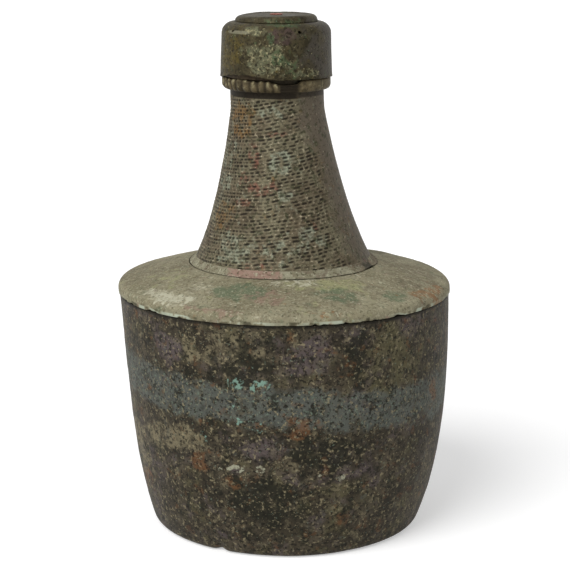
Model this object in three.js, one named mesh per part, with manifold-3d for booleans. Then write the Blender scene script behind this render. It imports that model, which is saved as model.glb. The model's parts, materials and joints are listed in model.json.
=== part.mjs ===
// Hammered bronze flask with a flat shoulder, a tapering neck and a lift-off cap.
// Sizes are in millimetres and +Z is up. The origin lies on the surface that the flask stands on,
// in the middle of the shoulder's outline. The front is towards -Y.
//
// The vessel is built as a bronzesmith would: sheets that are dished, turned and soldered one on
// the other. Each sheet is a profile of its outer face and a thickness, turned about the middle.
import * as THREE from "three";
import { mergeVertices } from "three/addons/utils/BufferGeometryUtils.js";
import Module from "manifold-3d";

const wasm = await Module();
wasm.setup();

// Clearances
const seamGap = 0.3; // solder space between a piece and the one that is slipped over it
const capClearance = 0.35; // all round, between the cap's bore and the mouth tube
const rivetClearance = 0.3;

// Body: a tapering wall whose foot is turned in to carry a let-in base
const bodyHeight = 116.4; // resting face to the shoulder's lower edge
const footFlatRadius = 62; // outer edge of the flat ring that the flask stands on
const footFlangeWidth = 8;
const footCornerRadius = 5;
const footLean = 19.75; // degrees out of upright where the wall leaves the foot
const footSweep = 33.5; // how far up that lean is felt
const rimLean = 2.1; // degrees out of upright at the top of the wall
const rimSweep = 45;
const wallSheet = 1.4;
const baseSheet = 1.4;

// Shoulder: a low cone with a rounded rim turned down over the wall
const rimRadius = 81.4;
const rimOverhang = 0.5; // how far the rim stands proud of the wall
const rimSkirt = 1.6; // straight stretch under the rounded rim
const rimTurnRadius = 4;
const rimTurnAngle = 75;
const shoulderRise = 9; // from the top of the rim to the neck's foot
const shoulderCrown = 0.5; // how much the cone swells between the two
const shoulderSheet = 1.4;
const shoulderLip = 5.5; // height of the lip that stands up inside the neck's foot

// Neck: a hollow-sided taper that ends in a straight throat
const neckFootRadius = 43.87;
const neckFootLean = -29.7;
const neckFootSweep = 25;
const taperHeight = 75;
const throatRadius = 22.7;
const throatLean = -3.5;
const throatSweep = 6.5;
const throatHeight = 14.5;
const neckSheet = 1.4;
const filletWidth = 2.4; // solder round the neck's foot
const filletHeight = 2.2;

// Collar: a half-round ring under the cap, crushed along one side
const collarHeight = 5.9;
const collarReach = 1.05; // how far it stands out past the mouth tube
const collarToe = 0.6; // narrow flat at its lower edge
const collarSwell = 3; // height over which its underside rounds out
const collarEdge = 0.3;
const crushFrom = -120; // degrees round from the front, to the left, where the crushed side starts
const crushTo = 12;
const crushDrop = 1.3; // how far its edge has sunk away from the cap
const crushBulge = 0.35;
const crushWaves = 6;

// Mouth tube: stands on the collar and guides the cap
const mouthStep = 2.3; // how much wider it is than the throat
const mouthSheet = 1.4;
const mouthHeight = 15.5;

// Cap: a straight bore inside a slightly tapering skirt, with a rounded shoulder and a stepped top
const capLipWall = 1.65;
const capTopWall = 1;
const capSkirtHeight = 20.3;
const capRound = 5.8;
const capSheet = 1.2;
const ventLift = 22; // degrees above level on the cap's rounded shoulder
const vents = [
  { azimuth: -52, width: 1.8, height: 0.8 },
  { azimuth: 26, width: 1.9, height: 1.2 },
];
const ventCutLength = 6;

// Top plate of the cap: a shallow pan, soldered open side down
const plateMargin = 0.65; // flat left showing round it
const plateHeight = 3.4;
const plateRound = 3.2;
const plateSheet = 1.1;
const plateDish = 0.4; // how far its middle lies below its rim
const plateDishSlope = 0.9;

// Rivet that held the lost knob, torn off above and clenched over a washer inside
const rivetRadius = 1.6;
const stubRadius = 3.1;
const stubHeight = 0.4;
const stubLip = 0.5;
const craterDepth = 0.9;
const stubTear = 0.3; // how much lower the stub is at its torn side
const clenchRadius = 3;
const clenchHeight = 1.2;
const washerRadius = 6;
const washerThickness = 1;

// The vessel stands a little out of true: the foot to one side, the neck and cap to the other
const footDrift = 1;
const bellyDrift = 1.35; // further out at half height
const mouthDrift = -3.7;

// Fineness of the round forms
const bodySides = 48;
const neckSides = 40;
const rivetSides = 20;
const wallSteps = 9;
const neckSteps = 12;
const shoulderSteps = 3;
const turnSteps = 4;
const smallTurnSteps = 3;

// Worked-out sizes
const turnCentreZ = bodyHeight + rimSkirt;
const neckFootZ = turnCentreZ + rimTurnRadius + shoulderRise;
const throatZ = neckFootZ + taperHeight;
const seatZ = throatZ + throatHeight;
const wallTopRadius = rimRadius - rimOverhang;
const mouthRadius = throatRadius + mouthStep;
const collarRadius = mouthRadius + collarReach;
const capBore = mouthRadius + capClearance;
const capFlatRadius = capBore + capTopWall - capRound;
const capTopZ = capSkirtHeight + capRound;
const plateRadius = capFlatRadius - plateMargin;
const plateTopZ = capTopZ + plateHeight;
const plateDishZ = plateTopZ - plateDish;
const washerTopZ = capTopZ - capSheet;
const washerBottomZ = washerTopZ - washerThickness;

const point = (radius, z) => new THREE.Vector2(radius, z);
const radians = THREE.MathUtils.degToRad;

/** Round stretch of a profile; angles are in degrees above level, seen from its centre. */
function arc(centre, radius, from, to, steps) {
  const points = [];
  for (let i = 0; i <= steps; i += 1) {
    const angle = radians(from + ((to - from) * i) / steps);
    points.push(point(centre.x + radius * Math.cos(angle), centre.y + radius * Math.sin(angle)));
  }
  return points;
}

/** Curve between two points, each with its lean out of upright and the reach of that lean. */
function sweep(start, startLean, startReach, end, endLean, endReach, steps) {
  const towards = (lean, reach) => point(Math.sin(radians(lean)), Math.cos(radians(lean))).multiplyScalar(reach);
  const curve = new THREE.CubicBezierCurve(
    start,
    start.clone().add(towards(startLean, startReach)),
    end.clone().sub(towards(endLean, endReach)),
    end,
  );
  return curve.getPoints(steps);
}

/** Face of a sheet: the outline moved square to itself, to its left as it runs. */
function offset(outline, distance) {
  return outline.map((here, i) => {
    const before = here.clone().sub(outline[Math.max(i - 1, 0)]).normalize();
    const after = outline[Math.min(i + 1, outline.length - 1)].clone().sub(here).normalize();
    const along = before.add(after).normalize();
    const reference = after.lengthSq() > 0 ? after : before;
    const mitre = distance / Math.max(0.2, along.dot(reference));
    return point(here.x - along.y * mitre, here.y + along.x * mitre);
  });
}

/** Closed section of a sheet whose outer face is the outline. */
function sheet(outline, thickness) {
  return [...outline, ...offset(outline, thickness).reverse()];
}

/** Point of an outline at a height. */
function atHeight(outline, z) {
  const i = Math.max(1, outline.findIndex((p) => p.y >= z));
  const share = (z - outline[i - 1].y) / (outline[i].y - outline[i - 1].y);
  return outline[i - 1].clone().lerp(outline[i], share);
}

/** Point of an outline that runs inwards, at a radius. */
function atRadius(outline, radius) {
  const i = Math.max(1, outline.findIndex((p) => p.x <= radius));
  const share = (radius - outline[i - 1].x) / (outline[i].x - outline[i - 1].x);
  return outline[i - 1].clone().lerp(outline[i], share);
}

/** Closed surface without doubled points or triangles that have no area. */
function cleaned(geometry) {
  geometry.deleteAttribute("normal");
  geometry.deleteAttribute("uv");
  const merged = mergeVertices(geometry, 1e-4);
  const corners = merged.index.array;
  const kept = [];
  for (let i = 0; i < corners.length; i += 3) {
    const [a, b, c] = [corners[i], corners[i + 1], corners[i + 2]];
    if (a !== b && b !== c && c !== a) kept.push(a, b, c);
  }
  merged.setIndex(kept);
  return merged;
}

/** Solid turned from a closed section that runs up its outer side and down its inner side. */
function turned(section, sides) {
  const geometry = new THREE.LatheGeometry([...section, section[0].clone()], sides);
  geometry.rotateX(Math.PI / 2);
  return cleaned(geometry);
}

/** Moves every point of a geometry by a rule that is given the point. */
function shaped(geometry, rule) {
  const places = geometry.attributes.position;
  const place = new THREE.Vector3();
  for (let i = 0; i < places.count; i += 1) {
    place.fromBufferAttribute(places, i);
    rule(place);
    places.setXYZ(i, place.x, place.y, place.z);
  }
  return geometry;
}

/** Sideways drift of the vessel at a height: nothing at the rim, most at the belly and the mouth. */
function drift(z) {
  if (z > turnCentreZ) return mouthDrift * Math.min(1, (z - turnCentreZ) / (seatZ - turnCentreZ));
  const share = z / turnCentreZ;
  return footDrift * (1 - share) + bellyDrift * 4 * share * (1 - share);
}

const outOfTrue = (geometry) =>
  shaped(geometry, (place) => {
    place.x += drift(place.z);
  });

/** Solid for joining and cutting, and back. */
function toSolid(geometry) {
  const closed = cleaned(geometry);
  return new wasm.Manifold(
    new wasm.Mesh({
      numProp: 3,
      vertProperties: new Float32Array(closed.attributes.position.array),
      triVerts: new Uint32Array(closed.index.array),
    }),
  );
}

function fromSolid(solid) {
  const mesh = solid.getMesh();
  const geometry = new THREE.BufferGeometry();
  geometry.setAttribute("position", new THREE.BufferAttribute(mesh.vertProperties, 3));
  geometry.setIndex(new THREE.BufferAttribute(mesh.triVerts, 1));
  return geometry;
}

/** Outer face of the neck, from its foot up to the cap's seat. */
const neckOutline = [
  ...sweep(
    point(neckFootRadius, neckFootZ),
    neckFootLean,
    neckFootSweep,
    point(throatRadius, throatZ),
    throatLean,
    throatSweep,
    neckSteps,
  ),
  point(throatRadius, seatZ),
];

/** Top face of the shoulder, from the edge of its rim to the foot of its lip. */
const shoulderOutline = shoulderTop();

function shoulderTop() {
  const rim = arc(point(rimRadius - rimTurnRadius, turnCentreZ), rimTurnRadius, 0, rimTurnAngle, turnSteps);
  const start = rim[rim.length - 1];
  const end = atHeight(offset(neckOutline, neckSheet + seamGap), neckFootZ - seamGap);
  const middle = start.clone().lerp(end, 0.5);
  middle.y += 2 * shoulderCrown;
  const plate = new THREE.QuadraticBezierCurve(start, middle, end).getPoints(shoulderSteps).slice(1);
  return [point(rimRadius, bodyHeight), ...rim, ...plate];
}

function bodyWall() {
  const flangeEdge = point(footFlatRadius - footFlangeWidth, 0);
  const corner = arc(point(footFlatRadius, footCornerRadius), footCornerRadius, -90, -footLean, turnSteps);
  const shoulderStepZ = bodyHeight - seamGap;
  const side = sweep(
    corner[corner.length - 1],
    footLean,
    footSweep,
    point(wallTopRadius, shoulderStepZ),
    rimLean,
    rimSweep,
    wallSteps,
  );
  // the top edge is set in, so that the shoulder's rim slips over it
  const lipRadius = rimRadius - shoulderSheet - seamGap;
  const lip = [point(lipRadius, shoulderStepZ), point(lipRadius, turnCentreZ)];
  return outOfTrue(turned(sheet([flangeEdge, ...corner, ...side.slice(1), ...lip], wallSheet), bodySides));
}

function baseDisc() {
  const radius = footFlatRadius - seamGap;
  const section = [
    point(0, wallSheet),
    point(radius, wallSheet),
    point(radius, wallSheet + baseSheet),
    point(0, wallSheet + baseSheet),
  ];
  return outOfTrue(turned(section, bodySides));
}

function shoulderPlate() {
  const lipFace = offset(neckOutline, neckSheet + seamGap);
  const lipTopZ = neckFootZ + shoulderLip;
  const between = lipFace.filter((p) => p.y > neckFootZ + seamGap && p.y < lipTopZ - seamGap);
  const lip = [...between, atHeight(lipFace, lipTopZ)];
  return outOfTrue(turned(sheet([...shoulderOutline, ...lip], shoulderSheet), bodySides));
}

function neckFootSolder() {
  const insideRadius = neckFootRadius + seamGap;
  const plateAt = (radius) => point(radius, atRadius(shoulderOutline, radius).y + seamGap);
  const toe = plateAt(neckFootRadius + filletWidth);
  const heel = plateAt(insideRadius);
  const topZ = neckFootZ + filletHeight;
  const top = point(atHeight(neckOutline, topZ).x + seamGap, topZ);
  const hollow = point((toe.x + 2 * top.x) / 3, (2 * toe.y + top.y) / 3);
  const face = new THREE.QuadraticBezierCurve(toe, hollow, top).getPoints(smallTurnSteps);
  return outOfTrue(turned([heel, ...face, point(insideRadius, neckFootZ)], neckSides));
}

function neck() {
  const inner = offset(neckOutline, neckSheet);
  // the foot is filed level to stand on the shoulder
  inner[0] = point(neckFootRadius - neckSheet / Math.cos(radians(neckFootLean)), neckFootZ);
  return outOfTrue(turned([...neckOutline, ...inner.reverse()], neckSides));
}

function collarRing() {
  const bore = throatRadius + seamGap;
  const lowerZ = seatZ - collarHeight;
  const toe = point(bore + collarToe, lowerZ);
  const swell = point(collarRadius, lowerZ + collarSwell);
  const underside = new THREE.QuadraticBezierCurve(toe, point(collarRadius, lowerZ), swell);
  const topEdge = arc(point(collarRadius - collarEdge, seatZ - collarEdge), collarEdge, 0, 90, 2);
  const section = [
    point(bore, lowerZ),
    ...underside.getPoints(turnSteps),
    ...topEdge,
    point(mouthRadius, seatZ),
    point(bore, seatZ),
  ];
  return outOfTrue(shaped(turned(section, neckSides), crushed));
}

/** The collar's outer edge has been knocked down and crinkled along one side. */
function crushed(place) {
  const radius = Math.hypot(place.x, place.y);
  const share = (THREE.MathUtils.radToDeg(Math.atan2(place.x, -place.y)) - crushFrom) / (crushTo - crushFrom);
  if (share <= 0 || share >= 1 || radius <= mouthRadius + seamGap) return;
  const fade = Math.sin(Math.PI * share) ** 0.6;
  const crinkle = Math.cos(2 * Math.PI * crushWaves * share);
  const height = (place.z - seatZ + collarHeight) / collarHeight;
  const grown = 1 + (crushBulge * fade * (1 + crinkle)) / 2 / radius;
  place.x *= grown;
  place.y *= grown;
  place.z -= crushDrop * fade * height * (0.75 + 0.25 * crinkle);
}

/** The mouth tube and the pieces of the cap are measured up from the cap's seat. */
function mouthTube() {
  const bore = throatRadius - neckSheet;
  const half = mouthSheet / 2;
  const lip = arc(point(mouthRadius - half, mouthHeight - half), half, 0, 180, 2 * smallTurnSteps);
  const section = [
    point(bore, 0),
    point(mouthRadius, 0),
    ...lip,
    point(mouthRadius - mouthSheet, mouthSheet),
    point(bore, mouthSheet),
  ];
  return turned(section, neckSides);
}

/** Cutter for one small hole, square to the cap's rounded shoulder. */
function ventCutter({ azimuth, width, height }) {
  const around = radians(azimuth);
  const lift = radians(ventLift);
  const along = new THREE.Vector3(Math.cos(around), Math.sin(around), 0);
  const outwards = new THREE.Vector3(
    Math.cos(lift) * Math.sin(around),
    -Math.cos(lift) * Math.cos(around),
    Math.sin(lift),
  );
  const across = along.clone().cross(outwards);
  const middle = new THREE.Vector3(Math.sin(around), -Math.cos(around), 0)
    .multiplyScalar(capFlatRadius)
    .add(new THREE.Vector3(0, 0, capSkirtHeight))
    .addScaledVector(outwards, capRound);
  const cutter = new THREE.CylinderGeometry(1, 1, ventCutLength, 12);
  cutter.scale(width / 2, 1, height / 2);
  cutter.applyMatrix4(new THREE.Matrix4().makeBasis(along, outwards, across).setPosition(middle));
  return cutter;
}

function capShell() {
  const bendRadius = capRound - capSheet;
  const outside = arc(point(capFlatRadius, capSkirtHeight), capRound, 0, 90, turnSteps + 1);
  const inside = arc(point(capBore - bendRadius, capSkirtHeight), bendRadius, 90, 0, smallTurnSteps);
  const rivetHole = rivetRadius + rivetClearance;
  const section = [
    point(capBore + capLipWall, 0),
    ...outside,
    point(rivetHole, capTopZ),
    point(rivetHole, washerTopZ),
    ...inside,
    point(capBore, 0),
  ];
  let shell = toSolid(turned(section, neckSides));
  for (const vent of vents) shell = shell.subtract(toSolid(ventCutter(vent)));
  return fromSolid(shell);
}

function capPlate() {
  const round = arc(point(plateRadius - plateRound, plateTopZ - plateRound), plateRound, 0, 90, turnSteps);
  const dishRadius = plateRadius - plateRound - plateDishSlope;
  const rivetHole = rivetRadius + rivetClearance;
  const underZ = plateDishZ - plateSheet;
  const innerRadius = plateRadius - plateSheet;
  const bend = Math.min(plateRound - plateSheet, underZ - capTopZ);
  const inside = arc(point(innerRadius - bend, underZ - bend), bend, 90, 0, smallTurnSteps);
  const section = [
    point(plateRadius, capTopZ),
    ...round,
    point(dishRadius, plateDishZ),
    point(rivetHole, plateDishZ),
    point(rivetHole, underZ),
    ...inside,
    point(innerRadius, capTopZ),
  ];
  return turned(section, neckSides);
}

function knobRivet() {
  const stubTopZ = plateDishZ + stubHeight;
  const section = [
    point(0, washerBottomZ - clenchHeight),
    point(clenchRadius * 0.7, washerBottomZ - clenchHeight * 0.8),
    point(clenchRadius, washerBottomZ - clenchHeight * 0.2),
    point(clenchRadius, washerBottomZ),
    point(rivetRadius, washerBottomZ),
    point(rivetRadius, plateDishZ),
    point(stubRadius, plateDishZ),
    point(stubRadius - stubLip * 0.3, stubTopZ),
    point(stubRadius - stubLip, stubTopZ),
    point(stubRadius - 2 * stubLip, stubTopZ - craterDepth / 2),
    point(0, stubTopZ - craterDepth),
  ];
  const torn = (place) => {
    const share = (1 + place.x / stubRadius) / 2;
    if (place.z > plateDishZ + stubHeight / 2) place.z -= stubTear * share;
  };
  return shaped(turned(section, rivetSides), torn);
}

function rivetWasher() {
  const hole = rivetRadius + rivetClearance;
  const section = [
    point(hole, washerBottomZ),
    point(washerRadius, washerBottomZ),
    point(washerRadius, washerTopZ),
    point(hole, washerTopZ),
  ];
  return turned(section, rivetSides);
}

const finishes = {
  body: { color: "#4f4a3a", roughness: 0.72, metalness: 0.35 },
  shoulder: { color: "#7c775f", roughness: 0.8, metalness: 0.25 },
  neck: { color: "#6a624c", roughness: 0.7, metalness: 0.35 },
  crust: { color: "#8f8f78", roughness: 0.9, metalness: 0.1 },
  cap: { color: "#55543f", roughness: 0.6, metalness: 0.4 },
  inside: { color: "#3f372b", roughness: 0.75, metalness: 0.4 },
  copper: { color: "#7d5347", roughness: 0.6, metalness: 0.5 },
};

function piece(name, geometry, finish) {
  geometry.computeVertexNormals();
  const mesh = new THREE.Mesh(geometry, new THREE.MeshStandardMaterial(finishes[finish]));
  mesh.name = name;
  return mesh;
}

const vessel = new THREE.Group();
vessel.add(
  piece("base_disc", baseDisc(), "body"),
  piece("body_wall", bodyWall(), "body"),
  piece("shoulder_plate", shoulderPlate(), "shoulder"),
  piece("neck_foot_solder", neckFootSolder(), "crust"),
  piece("neck", neck(), "neck"),
  piece("collar_ring", collarRing(), "neck"),
);

const mouth = new THREE.Group();
mouth.position.set(mouthDrift, 0, seatZ);
mouth.add(piece("mouth_tube", mouthTube(), "inside"));

const cap = new THREE.Group();
cap.position.set(mouthDrift, 0, seatZ);
cap.add(
  piece("cap_shell", capShell(), "cap"),
  piece("cap_plate", capPlate(), "cap"),
  piece("knob_rivet", knobRivet(), "copper"),
  piece("rivet_washer", rivetWasher(), "inside"),
);

const flask = new THREE.Group();
flask.add(vessel, mouth, cap);

export default flask;
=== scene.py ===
"""A hammered bronze flask with a crusted patina, seen from the front and a little above.

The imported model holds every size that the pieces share. Each visible sheet is turned again here
from the same outline, with hundreds of sides, and gets its hammer marks, dents, pits and crust as
real relief. Lengths are in millimetres until a mesh is made, and the front is towards -Y.
"""
import itertools
import json
import math
from statistics import NormalDist
from types import SimpleNamespace

import bmesh
import bpy
import numpy as np
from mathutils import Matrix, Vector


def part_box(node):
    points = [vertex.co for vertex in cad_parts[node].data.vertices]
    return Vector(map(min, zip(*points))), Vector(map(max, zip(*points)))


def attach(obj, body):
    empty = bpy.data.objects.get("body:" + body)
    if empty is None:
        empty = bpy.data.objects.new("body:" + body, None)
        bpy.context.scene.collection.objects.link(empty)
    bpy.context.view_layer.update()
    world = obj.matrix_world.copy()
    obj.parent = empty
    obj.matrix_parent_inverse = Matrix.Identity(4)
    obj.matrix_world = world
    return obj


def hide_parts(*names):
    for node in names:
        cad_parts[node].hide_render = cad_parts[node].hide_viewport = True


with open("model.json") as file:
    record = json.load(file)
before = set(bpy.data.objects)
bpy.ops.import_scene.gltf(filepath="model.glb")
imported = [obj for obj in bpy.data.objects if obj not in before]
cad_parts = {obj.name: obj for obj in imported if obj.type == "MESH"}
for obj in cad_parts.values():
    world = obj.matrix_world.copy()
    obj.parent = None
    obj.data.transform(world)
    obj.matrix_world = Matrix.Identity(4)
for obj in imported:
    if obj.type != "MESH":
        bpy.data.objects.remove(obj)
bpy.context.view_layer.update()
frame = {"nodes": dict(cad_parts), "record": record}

MM = 0.001


# Camera

CAMERA_PLACE = (0.46, -850, 305.24)
CAMERA_PITCH = 12.467  # degrees below level
CAMERA_LENS = 111.44


def make_camera():
    data = bpy.data.cameras.new("camera")
    data.lens = CAMERA_LENS
    data.sensor_width = 36
    camera = bpy.data.objects.new("camera", data)
    camera.location = [length * MM for length in CAMERA_PLACE]
    camera.rotation_euler = (math.radians(90 - CAMERA_PITCH), 0, 0)
    bpy.context.scene.collection.objects.link(camera)
    bpy.context.scene.camera = camera


make_camera()


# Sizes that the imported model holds


def corners(node):
    low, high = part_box(node)
    return np.array(low) / MM, np.array(high) / MM


def radius_of(node):
    low, high = corners(node)
    return (high[1] - low[1]) / 2


WALL_TOP_Z = corners("body_wall")[1][2]
BODY_HEIGHT = corners("shoulder_plate")[0][2]
RIM_RADIUS = radius_of("shoulder_plate")
NECK_FOOT_Z = corners("neck")[0][2]
NECK_FOOT_RADIUS = radius_of("neck")
SEAT_Z = corners("neck")[1][2]
COLLAR_BOTTOM_Z = corners("collar_ring")[0][2]
MOUTH_TOP_Z = corners("mouth_tube")[1][2]
MOUTH_RADIUS = radius_of("mouth_tube")
CAP_LIP_RADIUS = radius_of("cap_shell")
CAP_TOP_Z = corners("cap_shell")[1][2]
PLATE_RADIUS = radius_of("cap_plate")
PLATE_TOP_Z = corners("cap_plate")[1][2]
MOUTH_DRIFT = (corners("mouth_tube")[0][0] + corners("mouth_tube")[1][0]) / 2
BASE_RADIUS = radius_of("base_disc")
BASE_LOW_Z = corners("base_disc")[0][2]
BASE_HIGH_Z = corners("base_disc")[1][2]
RIVET_BOTTOM_Z = corners("knob_rivet")[0][2]
RIVET_TOP_Z = corners("knob_rivet")[1][2]
WASHER_BOTTOM_Z = corners("rivet_washer")[0][2]

# Sizes of the outlines between those
SEAM_GAP = 0.3
SHEET = 1.4
FOOT_FLAT_RADIUS = 62
FOOT_FLANGE_WIDTH = 8
FOOT_CORNER = 5
FOOT_LEAN = 19.75
RIM_OVERHANG = 0.5
RIM_TURN_RADIUS = 4
RIM_TURN_ANGLE = 75
SHOULDER_CROWN = 0.5
SHOULDER_LIP = 5.5
THROAT_Z = 206
THROAT_RADIUS = 22.7
CAP_BORE = 25.35
CAP_SHEET = 1.2
CAP_ROUND = 5.8
CAP_SKIRT_TOP_RADIUS = 26.35
PLATE_ROUND = 3.2
PLATE_SHEET = 1.1
PLATE_DISH = 0.4
RIVET_RADIUS = 1.6
STUB_RADIUS = 3.1
FOOT_DRIFT = 1
BELLY_DRIFT = 1.35


def drift(z):
    """How far the flask stands to the side at a height: the foot and belly to +X, the neck to -X."""
    share = np.clip(z / WALL_TOP_Z, 0, 1)
    below = FOOT_DRIFT * (1 - share) + BELLY_DRIFT * 4 * share * (1 - share)
    above = MOUTH_DRIFT * np.clip((z - WALL_TOP_Z) / (SEAT_Z - WALL_TOP_Z), 0, 1)
    return below + above


# Outlines, as rows of radius and height


def arc(centre, radius, start, end, steps=12):
    """Round stretch; angles are in degrees above level, seen from its centre."""
    angles = np.radians(np.linspace(start, end, steps + 1))
    return np.column_stack([centre[0] + radius * np.cos(angles), centre[1] + radius * np.sin(angles)])


def sweep(start, start_lean, start_reach, end, end_lean, end_reach, steps=60):
    """Curve between two points, each with its lean out of upright and the reach of that lean."""
    start, end = np.array(start, float), np.array(end, float)
    start_lean, end_lean = math.radians(start_lean), math.radians(end_lean)
    first = start + start_reach * np.array([math.sin(start_lean), math.cos(start_lean)])
    last = end - end_reach * np.array([math.sin(end_lean), math.cos(end_lean)])
    share = np.linspace(0, 1, steps + 1)[:, None]
    rest = 1 - share
    return rest**3 * start + 3 * rest**2 * share * first + 3 * rest * share**2 * last + share**3 * end


def offset(outline, distance):
    """Other face of a sheet: the outline moved square to itself, to its left as it runs."""
    steps = np.diff(outline, axis=0)
    steps /= np.linalg.norm(steps, axis=1)[:, None]
    before = np.vstack([steps[:1], steps])
    after = np.vstack([steps, steps[-1:]])
    along = before + after
    along /= np.linalg.norm(along, axis=1)[:, None]
    mitre = distance / np.maximum(0.2, (along * after).sum(1))
    return outline + np.column_stack([-along[:, 1], along[:, 0]]) * mitre[:, None]


def lengths(outline):
    return np.concatenate([[0], np.cumsum(np.linalg.norm(np.diff(outline, axis=0), axis=1))])


def evenly(outline, spacing):
    """The same outline with evenly spaced points."""
    run = lengths(outline)
    places = np.linspace(0, run[-1], max(2, math.ceil(run[-1] / spacing) + 1))
    return np.column_stack([np.interp(places, run, outline[:, 0]), np.interp(places, run, outline[:, 1])])


def wall_outline():
    corner = arc((FOOT_FLAT_RADIUS, FOOT_CORNER), FOOT_CORNER, -90, -FOOT_LEAN)
    step_z = BODY_HEIGHT - SEAM_GAP
    side = sweep(corner[-1], FOOT_LEAN, 33.5, (RIM_RADIUS - RIM_OVERHANG, step_z), 2.1, 45)
    lip_radius = RIM_RADIUS - SHEET - SEAM_GAP
    flange = [(FOOT_FLAT_RADIUS - FOOT_FLANGE_WIDTH, 0)]
    return np.vstack([flange, corner, side[1:], [(lip_radius, step_z), (lip_radius, WALL_TOP_Z)]])


def neck_outline():
    side = sweep((NECK_FOOT_RADIUS, NECK_FOOT_Z), -29.7, 25, (THROAT_RADIUS, THROAT_Z), -3.5, 6.5)
    return np.vstack([side, [(THROAT_RADIUS, SEAT_Z)]])


def shoulder_outline():
    rim = arc((RIM_RADIUS - RIM_TURN_RADIUS, WALL_TOP_Z), RIM_TURN_RADIUS, 0, RIM_TURN_ANGLE)
    lip = offset(neck_outline(), SHEET + SEAM_GAP)
    foot_z = NECK_FOOT_Z - SEAM_GAP
    foot = np.array([np.interp(foot_z, lip[:, 1], lip[:, 0]), foot_z])
    crown = (rim[-1] + foot) / 2 + (0, 2 * SHOULDER_CROWN)
    share = np.linspace(0, 1, 31)[1:, None]
    plate = (1 - share) ** 2 * rim[-1] + 2 * share * (1 - share) * crown + share**2 * foot
    inside = lip[(lip[:, 1] > NECK_FOOT_Z) & (lip[:, 1] < NECK_FOOT_Z + SHOULDER_LIP)]
    return np.vstack([[(RIM_RADIUS, BODY_HEIGHT)], rim, plate, inside])


# Random fields, drawn from numbered seeds so that each run gives the same flask


def smooth(low, high, value):
    share = np.clip((value - low) / (high - low), 0, 1)
    return share * share * (3 - 2 * share)


def hashed(cell, seed):
    """Index into a table of 4096 random numbers for whole-numbered cells."""
    mixed = (cell * np.array([73856093, 19349663, 83492791])[: cell.shape[-1]]).sum(-1)
    return (mixed + 7919 * seed) & 4095


def noise(point, size, seed, layers=1):
    """Smooth lumps between -1 and 1; size is the width in mm of the largest."""
    table = np.random.default_rng(seed).uniform(-1, 1, 4096)
    total = np.zeros(len(point))
    for layer in range(layers):
        spot = point * 2**layer / size
        corner = np.floor(spot).astype(np.int64)
        share = spot - corner
        share = share * share * (3 - 2 * share)
        for step in itertools.product((0, 1), repeat=3):
            weight = np.where(step, share, 1 - share).prod(1)
            total += weight * table[hashed(corner + step, seed)] / 2**layer
    return total / (2 - 2.0 ** (1 - layers))


def pits(point, spacing, seed):
    """Round spots: 1 in the middle of a pit, 0 between pits, each of its own size."""
    draw = np.random.default_rng(seed).uniform(0, 1, (4096, 4))
    spot = point / spacing
    corner = np.floor(spot).astype(np.int64)
    best = np.zeros(len(point))
    for step in itertools.product((-1, 0, 1), repeat=3):
        cell = corner + step
        own = draw[hashed(cell, seed)]
        away = np.linalg.norm(cell + own[:, :3] - spot, axis=1)
        best = np.maximum(best, smooth(0.15 + 0.5 * own[:, 3], 0, away))
    return best


def patches(spots, level, marks, seed):
    """Ragged ovals of one patina colour; a mark is azimuth, level, half width, half height, strength."""
    wander = noise(spots.point, 9, seed, 3)
    drawn = np.zeros(len(level))
    for azimuth, height, half_width, half_height, strength in marks:
        turn = (spots.phi - math.radians(azimuth) + math.pi) % (2 * math.pi) - math.pi
        away = np.hypot(turn * spots.radius / half_width, (level - height) / half_height)
        drawn = np.maximum(drawn, strength * smooth(1.35, 0.55, away + 0.55 * wander))
    return drawn


def painted(spots, level, patina, seed):
    """One field of the mesh for each patina colour of a piece."""
    return {name: patches(spots, level, marks, seed + i) for i, (name, marks) in enumerate(patina.items())}


def round_streaks(spots, along, across, seed, layers=2):
    """Lumps drawn out round the flask, as a scraper or a worn hammer leaves them."""
    turn = spots.radius.max() * across / along
    place = np.column_stack([turn * np.cos(spots.phi), turn * np.sin(spots.phi), spots.run])
    return noise(place, across, seed, layers)


# Turned sheets with relief


def close_faces(rows, sides):
    """Four-sided faces of a skin that closes both round the flask and round its section."""
    row = np.arange(rows)[:, None]
    side = np.arange(sides)[None, :]
    next_row = (row + 1) % rows
    next_side = (side + 1) % sides
    lower, upper = row * sides, next_row * sides
    faces = [lower + side, lower + next_side, upper + next_side, upper + side]
    return np.stack(faces, axis=-1).reshape(-1, 4)


def make_mesh(name, point, faces, fields):
    mesh = bpy.data.meshes.new(name)
    mesh.from_pydata((point * MM).tolist(), [], faces.tolist())
    for field, values in fields.items():
        attribute = mesh.attributes.new(field, "FLOAT", "POINT")
        attribute.data.foreach_set("value", np.clip(values, 0, 1).astype(np.float32))
    work = bmesh.new()
    work.from_mesh(mesh)
    bmesh.ops.remove_doubles(work, verts=work.verts, dist=0.002 * MM)
    bmesh.ops.dissolve_degenerate(work, edges=work.edges, dist=0.001 * MM)
    work.to_mesh(mesh)
    work.free()
    mesh.shade_smooth()
    return mesh


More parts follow.
